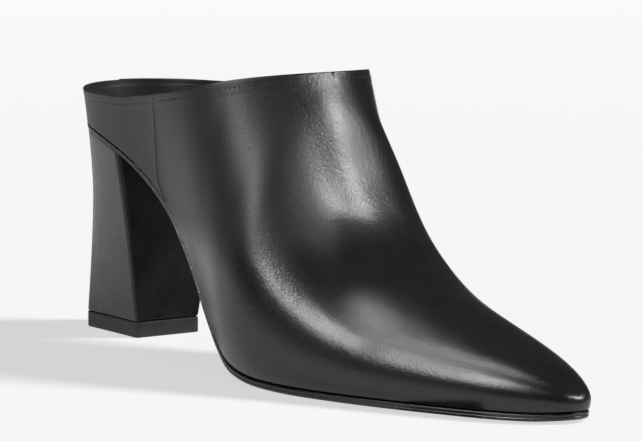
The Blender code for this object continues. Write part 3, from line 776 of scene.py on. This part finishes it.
def makeStitches():
    # a line on the leather at an even distance from the collar edge, from one side seam round to the other
    top = skinCollar[skinRows]
    reach = skinRear
    while top[reach + 1] < stitches["below"]:
        reach += 1
    order = np.concatenate([np.arange(1, reach + 1), skinRing - np.arange(reach, 0, -1)])
    away = skinCollar[::-1, order][:16]
    col, nor = skinGrid[::-1, order][:16], skinNormal[::-1, order][:16]
    line, face = (np.array([[np.interp(stitches["below"], away[:, k], values[:, k, i]) for i in range(3)]
                            for k in range(len(order))]) for values in (col, nor))
    for _ in range(3):
        line[1:-1] = (line[:-2] + 2 * line[1:-1] + line[2:]) / 4
    keep = line[:, 0] > stitches["startX"]
    return line[keep], unit(face[keep])


def stitchPiece(name, line, face):
    # each stitch: rings of a small circle along its run, rounded at both ends and sunk at the holes
    along = np.linspace(0, 1, 7)
    girth = np.array([0.0, 0.72, 0.96, 1.0, 0.96, 0.72, 0.0])
    angles = np.linspace(0, 2 * np.pi, stitches["sides"], endpoint=False)
    run = lengthAlong(line)
    starts = np.arange(0.0005, run[-1] - stitches["long"], stitches["pitch"])
    s = starts[:, None] + along[None] * stitches["long"]
    c = np.stack([np.interp(s, run, line[:, i]) for i in range(3)], -1)
    n = unit(np.stack([np.interp(s, run, face[:, i]) for i in range(3)], -1))
    t = unit(c[:, -1:] - c[:, :1])
    b = unit(np.cross(t, n))
    c = c + n * ((np.sin(np.pi * along) * 0.9 - 0.35)[None, :, None] * stitches["radius"])
    r = stitches["radius"] * girth[None, :, None, None]
    turn = angles[None, None, :, None]
    points = c[:, :, None] + r * (np.cos(turn) * n[:, :, None] + np.sin(turn) * b[:, :, None])
    step = len(along) * len(angles)
    ids = np.arange(step).reshape(len(along), len(angles))
    ids[0], ids[-1] = ids[0, 0], ids[-1, 0]
    one = gridFaces(np.concatenate([ids, ids[:, :1]], 1))
    faces = (one[None] + (np.arange(len(starts)) * step)[:, None, None]).reshape(-1, 4)
    piece = addPiece(name, points.reshape(-1, 3), faces, threadMat)


stitchPiece("collarStitches", *makeStitches())
print("stitches made")

# sole and sock

sole = {"groove": 0.00022, "across": 18}
sock = {"inset": 0.0024, "toeShort": 0.0015, "crown": 0.0004, "edgeRound": 0.0005}


def soleSheet(name, profile, topLevel, lowLevel, inset, toeShort, material, marks, crown=0.0):
    # sheet under the foot: outline set in, with a rim profile of (set in, share of the thickness, painted
    # shade)
    shares = columnShares()
    n = len(shares)
    ring = 2 * n - 2
    halves = []
    for side in (-1, 1):
        base = footOutline(side)
        p = base.at(shares)
        out = planNormals(base, shares, side)
        out[0], out[-1] = (-1, 0), (1, 0)
        halves.append((p, out))
    p = np.concatenate([halves[0][0], halves[1][0][1:-1][::-1]])
    out = np.concatenate([halves[0][1], halves[1][1][1:-1][::-1]])
    short = toeShort * easeStep(shareX(p[:, 0]), 0.93, 1.0)
    body, ids = Skin(), []
    for setIn, level, _ in profile:
        q = p - out * (inset + setIn + short)[:, None]
        z = lowLevel(q[:, 0]) * (1 - level) + topLevel(q[:, 0]) * level
        ids.append(body.put(np.column_stack([q, z])))
    faces = [bandFaces(ids)]
    caps = []
    for edgeIds, edge, level in ((ids[0], body.blocks[0], 1.0), (ids[-1], body.blocks[-1], 0.0)):
        left = np.arange(1, n - 1)
        right = ring - left
        w = np.linspace(0, 1, sole["across"] + 1)[1:-1]
        mid = edge[left][:, None] * (1 - w[None, :, None]) + edge[right][:, None] * w[None, :, None]
        z = lowLevel(mid[:, :, 0]) * (1 - level) + topLevel(mid[:, :, 0]) * level
        width = np.linalg.norm(edge[left] - edge[right], axis=1)[:, None]
        mid[:, :, 2] = z + crown * level * np.sin(np.pi * w)[None] * np.clip(width / 0.03, 0, 1)
        midIds = body.put(mid).reshape(len(left), len(w))
        rungs = np.concatenate([edgeIds[left][:, None], midIds, edgeIds[right][:, None]], 1)
        first, final = (np.full((1, rungs.shape[1]), edgeIds[k]) for k in (0, n - 1))
        cap = gridFaces(np.concatenate([first, rungs, final]))
        faces.append(cap if level == 0.0 else cap[:, ::-1])
        caps.append(midIds.size)
    marksOut = {}
    if marks:
        groove = np.concatenate([np.full(ring, r[2]) for r in profile] + [np.zeros(c) for c in caps])
        under = np.concatenate([np.full(ring, 1.0 if r[1] < 0.05 else 0.0) for r in profile]
                               + [np.zeros(caps[0]), np.ones(caps[1])])
        marksOut = {"grooveShade": groove, "underside": under}
    return addPiece(name, body.points(), np.concatenate(faces), material, marksOut)


groove = sole["groove"]
# rim rows: set in, share of the thickness, painted shade that is darkest in the groove and at the top under
# the upper
soleProfile = (
    (0.00035, 1.00, 0.9), (0.00012, 0.985, 0.4), (0.0, 0.94, 0.0), (-0.00004, 0.78, 0.0),
    (0.0, 0.60, 0.0), (0.00004, 0.56, 0.5), (groove, 0.52, 1.0), (groove, 0.46, 1.0), (0.00006, 0.42, 0.5),
    (0.00004, 0.38, 0.0), (0.00008, 0.22, 0.0), (0.00022, 0.08, 0.0), (0.00060, 0.0, 0.0))
soleSkin = soleSheet("outsoleSheet", soleProfile, soleTop, soleUnder, 0.0, 0.0, soleMat, True)
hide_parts("outsole")

edge = sock["edgeRound"]
sockProfile = ((edge, 1.0, 0), (edge * 0.45, 0.92, 0), (edge * 0.1, 0.74, 0), (0.0, 0.5, 0), (0.0, 0.0, 0))
sockSkin = soleSheet("sockSheet", sockProfile,
                     lambda x: bottomZ(x) + last["marginThick"] + last["fit"] + last["insoleThick"],
                     lambda x: bottomZ(x) + last["marginThick"] + last["fit"],
                     sock["inset"], sock["toeShort"], sockMat, False, sock["crown"])
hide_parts("insole")
print("sole and sock made")

# heel

heel = {
    "sideSteps": 128, "levels": 56, "across": 34, "bow": 0.05,
    "lip": 0.00135, "lipHalf": 0.00012, "lipDepth": 0.00032, "lipShade": 0.00018,
}
lift = {"bevel": 0.00035, "capInset": 0.0010, "sideSteps": 96, "across": 12}
cornerSteps = 8


def spread(path, shares):
    # points at shares of a path's length
    run = lengthAlong(path)
    return np.column_stack([np.interp(shares * run[-1], run, path[:, i]) for i in range(path.shape[1])])


def arc(a, b, c, radius, steps):
    # round corner at b between the lines to a and c
    u, v = (a - b) / np.linalg.norm(a - b), (c - b) / np.linalg.norm(c - b)
    angle = np.arccos(np.clip(u @ v, -1, 1))
    mid = b + (u + v) / np.linalg.norm(u + v) * radius / np.sin(angle / 2)
    s, e = b + u * radius / np.tan(angle / 2) - mid, b + v * radius / np.tan(angle / 2) - mid
    sweep = np.pi - angle
    w = np.linspace(0, 1, steps + 1)[:, None]
    return mid + (s * np.sin((1 - w) * sweep) + e * np.sin(w * sweep)) / np.sin(sweep)


def treadPath():
    # from the outer breast corner round the back to the inner breast corner
    front, back = breastX, breastX - last["treadDepth"]
    wide, narrow = last["treadWidth"] / 2, last["treadBackWidth"] / 2
    p = [np.array(q) for q in ((front, wide), (front, -wide), (back, -narrow), (back, narrow))]
    breast, rear = (last["breastCorner"], cornerSteps), (last["treadCorner"], 18)
    return np.vstack([arc(p[0], p[1], p[2], *breast), arc(p[1], p[2], p[3], *rear),
                      arc(p[2], p[3], p[0], *rear), arc(p[3], p[0], p[1], *breast)])


def seatPath():
    # the heel's upper outline: the bottom outline behind the breast, with rounded breast corners
    topFront = breastX + last["breastReach"]
    sides = []
    for side in (-1, 1):
        base = footOutline(side)
        fineRun = np.linspace(0, 0.5, 2001)
        p = base.at(fineRun)
        cut = fineRun[int(np.argmax(p[:, 0] > topFront))]
        sh = np.linspace(cut, 0, 120)
        q = base.at(sh)
        out = planNormals(base, sh, side)
        out[-1] = (-1, 0)
        sides.append(q - out * last["fit"])
    path = np.vstack([sides[0], sides[1][::-1][1:]])
    a, b = path[0], path[-1]
    first = arc(np.array((topFront, 0.0)), np.array((topFront, a[1])), path[12], last["breastCorner"],
                cornerSteps)
    final = first[::-1] * (1, -1)
    final[:, 1] += b[1] + a[1]
    near = path[:, 0] < topFront - last["breastCorner"] * 1.05
    return np.vstack([first, path[near], final])


def cornered(path, steps):
    # resample so that both rounded corners keep their own points
    k = cornerSteps + 1
    first, middle, final = path[:k], path[k - 1:-k + 1], path[-k:]
    return np.vstack([first, spread(middle, np.linspace(0, 1, steps + 1))[1:-1], final])


def closeEnd(edge, edgeIds, count, w, firstId, up):
    # rungs over an open end, from each point of the outer side to its partner on the inner side
    half = count // 2
    i = np.arange(1, half)
    p, q = edge[i], edge[count - 1 - i]
    mid = p[:, None] * (1 - w[None, :, None]) + q[:, None] * w[None, :, None]
    midIds = firstId + np.arange(mid[:, :, 0].size).reshape(len(i), len(w))
    rungs = np.concatenate([edgeIds[i][:, None], midIds, edgeIds[count - 1 - i][:, None]], 1)
    first = np.concatenate([[edgeIds[0]], edgeIds[count:][::-1], [edgeIds[count - 1]]])[None]
    tail = np.full((1, rungs.shape[1]), edgeIds[half])
    cap = gridFaces(np.concatenate([first, rungs, tail]))
    return mid, cap if up else cap[:, ::-1]


def makeHeel():
    # rings from the tread to the seat: straight lines between the two outlines, hollowed by a half sine
    lower, upperRing = cornered(treadPath(), heel["sideSteps"]), cornered(seatPath(), heel["sideSteps"])
    count = len(lower)
    w = np.linspace(-1, 1, heel["across"] + 1)
    w = (0.5 + 0.5 * np.sign(w) * (1 - (1 - np.abs(w)) ** 1.9))[1:-1]
    lowZ = last["liftThick"] + last["fit"]
    heights = np.concatenate([[0, 0, 0.006], np.linspace(0.014, 0.985, heel["levels"]), [0.994, 1.0]])
    inset = np.concatenate([[0.0011, 0.0003, 0.00005], np.zeros(heel["levels"]), [0.00006, 0.00030]])
    body, ids, crackShadeMark = Skin(), [], []
    for t, more in zip(heights, inset):
        s = t - heel["bow"] * np.sin(np.pi * t)
        path = lower * (1 - s) + upperRing * s
        centre = np.array([path[:, 0].mean(), 0])
        path = path - unit(path - centre) * (last["heelWaist"] * np.sin(np.pi * t) + more)
        # breast between the corners: the panel lies behind the turned edge of the cover
        a, b = path[0], path[-1]
        line = a * (1 - w[:, None]) + b * w[:, None]
        fromEdge = np.minimum(w, 1 - w) * np.linalg.norm(b - a) + last["breastCorner"]
        step = easeStep(fromEdge, heel["lip"] - heel["lipHalf"], heel["lip"] + heel["lipHalf"])
        line[:, 0] -= step * heel["lipDepth"]
        full = np.vstack([path, line[::-1]])
        z = lowZ * (1 - t) + heelTop(full[:, 0]) * t
        ids.append(body.put(np.column_stack([full, z])))
        # painted shade: a thin dark line along the step where the turned edge of the cover meets the
        # recessed panel
        crackShade = np.exp(-((fromEdge - heel["lip"]) / heel["lipShade"]) ** 2)
        crackShadeMark.append(np.concatenate([np.zeros(count), crackShade[::-1]]))
    # known flaw: by the second turn blocks[-1] is the lower end's inner block, so the upper end is wrong
    faces = [bandFaces(ids)]
    for k in (0, -1):
        mid, cap = closeEnd(body.blocks[k], ids[k], count, w, body.count, k == -1)
        if k == -1:
            mid[:, :, 2] = heelTop(mid[:, :, 0])
        crackShadeMark.append(np.zeros(len(body.put(mid))))
        faces.append(cap)
    piece = addPiece("heelCover", body.points(), np.concatenate(faces), heelLeatherMat,
                     {"seamLineAndCrackShade": np.concatenate(crackShadeMark)})
    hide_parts("heel")


def makeLift():
    # the tread outline carried up, with eased lower and upper edges
    thick, b, cap = last["liftThick"], lift["bevel"], lift["capInset"]
    levels = [(cap, 0.0), (b, 0.0), (b * 0.3, b * 0.3), (0.0, b)]
    levels += [(0.0, thick * k) for k in (0.15, 0.32, 0.5, 0.68, 0.85)]
    levels += [(0.0, thick - b), (b * 0.3, thick - b * 0.3), (b, thick), (cap, thick)]
    path = cornered(treadPath(), lift["sideSteps"])
    centre = np.array([path[:, 0].mean(), 0])
    body, ids = Skin(), []
    w = np.linspace(0, 1, lift["across"] + 1)[1:-1]
    for more, z in levels:
        q = path - unit(path - centre) * more
        full = np.vstack([q, q[-1] * (1 - w[:, None]) + q[0] * w[:, None]])
        ids.append(body.put(np.column_stack([full, np.full(len(full), z)])))
    faces = [bandFaces(ids)]
    # the same flaw as in the heel cover: these inner points lie at the floor
    for k in (0, -1):
        mid, ends = closeEnd(body.blocks[k], ids[k], len(path), w, body.count, k == -1)
        body.put(mid)
        faces.append(ends)
    piece = addPiece("heelLift", body.points(), np.concatenate(faces), rubberMat, sharpAngle=50)
    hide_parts("top_piece")


makeHeel()
makeLift()
print("heel and lift made")

# floor, light and camera

stage = {"floorSize": 9.0, "floorDrop": 0.00005}


def flatSheet(name, low, high, z, material):
    # level rectangle, linked to the scene
    (x0, y0), (x1, y1) = low, high
    mesh = bpy.data.meshes.new(name)
    mesh.from_pydata([(x0, y0, z), (x1, y0, z), (x1, y1, z), (x0, y1, z)], [], [(0, 1, 2, 3)])
    mesh.materials.append(material)
    sheet = bpy.data.objects.new(name, mesh)
    bpy.context.scene.collection.objects.link(sheet)
    return sheet


def makeFloor():
    s = stage["floorSize"]
    floor = flatSheet("paleFloor", (-s, -s), (s, s), -stage["floorDrop"], paleMaterial("palePaper"))


makeFloor()

card = {"low": (0.022, -0.022), "high": (0.21, 0.15), "height": 0.0004}


def makePaintedShadeCard():
    # painted shade: a dark sheet lying between the heel and the toe, seen in reflections alone,
    # so the breast reflects shade in place of the pale floor and stays deep black
    shadePaint = Nodes("paintedShadePaper").shade((0.01, 0.01, 0.01), 0.9, None, **{"Specular IOR Level": 0.0})
    sheet = flatSheet("paintedShadeCard", card["low"], card["high"], card["height"], shadePaint)
    sheet.visible_camera = sheet.visible_diffuse = sheet.visible_shadow = False


makePaintedShadeCard()

lights = {
    "sun": {"direction": (49, 38), "angle": 14, "strength": 2.3},
    "keyStrip": {"from": (46, 38), "distance": 1.25, "size": (0.055, 0.34), "turn": 28, "bright": 130},
    "sideStrip": {"from": (-92, 48), "distance": 1.25, "size": (0.06, 0.76), "turn": 0, "bright": 84},
    "overStrip": {"from": (-149, 69), "distance": 1.1, "size": (0.06, 1.0), "turn": 0, "tilt": -20,
                  "bright": 26},
    "sideCard": {"from": (-97, 8), "distance": 1.4, "size": (0.36, 0.62), "turn": 0, "bright": 0.35},
    "frontFill": {"from": (-62, 57), "distance": 1.5, "size": (0.8, 0.35), "turn": 0, "bright": 0.5},
}


def towards(azimuth, elevation):
    a, e = math.radians(azimuth), math.radians(elevation)
    return Vector((math.cos(a) * math.cos(e), math.sin(a) * math.cos(e), math.sin(e)))


shoeCentre = Vector((0.14, -0.01, 0.03))


def addLamp(name, kind, place, **settings):
    data = bpy.data.lights.new(name, kind)
    for key, value in settings.items():
        setattr(data, key, value)
    lamp = bpy.data.objects.new(name, data)
    lamp.location = place
    lamp.rotation_euler = (shoeCentre - place).to_track_quat("-Z", "Y").to_euler()
    bpy.context.scene.collection.objects.link(lamp)
    return lamp


def addPanel(name, panel):
    # soft panel: its power is pi times its area times the brightness seen in a reflection
    wide, tall = panel["size"]
    place = shoeCentre + towards(*panel["from"]) * panel["distance"]
    lamp = addLamp(name, "AREA", place, shape="RECTANGLE", size=wide, size_y=tall,
                   energy=math.pi * wide * tall * panel["bright"])
    lamp.rotation_euler.rotate_axis("Z", math.radians(panel["turn"]))
    lamp.visible_diffuse = False
    return lamp


sunLook = lights["sun"]
sun = addLamp("roomSun", "SUN", shoeCentre + towards(*sunLook["direction"]) * 2,
              angle=math.radians(sunLook["angle"]), energy=sunLook["strength"])
sun.visible_glossy = False
for name in ("keyStrip", "sideStrip", "overStrip", "sideCard", "frontFill"):
    panel = addPanel(name, lights[name])
    if name == "overStrip":
        panel.rotation_euler = (0.0, math.radians(lights[name]["tilt"]), 0.0)

world = bpy.data.worlds.new("paleStudio")
bpy.context.scene.world = world
world.use_nodes = True
sky = world.node_tree.nodes["Background"]
sky.inputs["Color"].default_value = (0.95, 0.96, 1.0, 1)
sky.inputs["Strength"].default_value = 0.06

eye = Vector(camera["aim"]) + camera["distance"] * Vector((
    math.sin(math.radians(camera["azimuth"])) * math.cos(math.radians(camera["elevation"])),
    -math.cos(math.radians(camera["azimuth"])) * math.cos(math.radians(camera["elevation"])),
    math.sin(math.radians(camera["elevation"]))))
lensData = bpy.data.cameras.new("mainCamera")
lensData.lens = camera["lens"]
lensData.sensor_width = 36
lensData.clip_start = 0.01
view = bpy.data.objects.new("mainCamera", lensData)
view.location = eye
view.rotation_euler = (Vector(camera["lookAt"]) - eye).to_track_quat("-Z", "Y").to_euler()
bpy.context.scene.collection.objects.link(view)
bpy.context.scene.camera = view
bpy.context.scene.view_settings.view_transform = "Standard"
print("floor, light and camera ready")
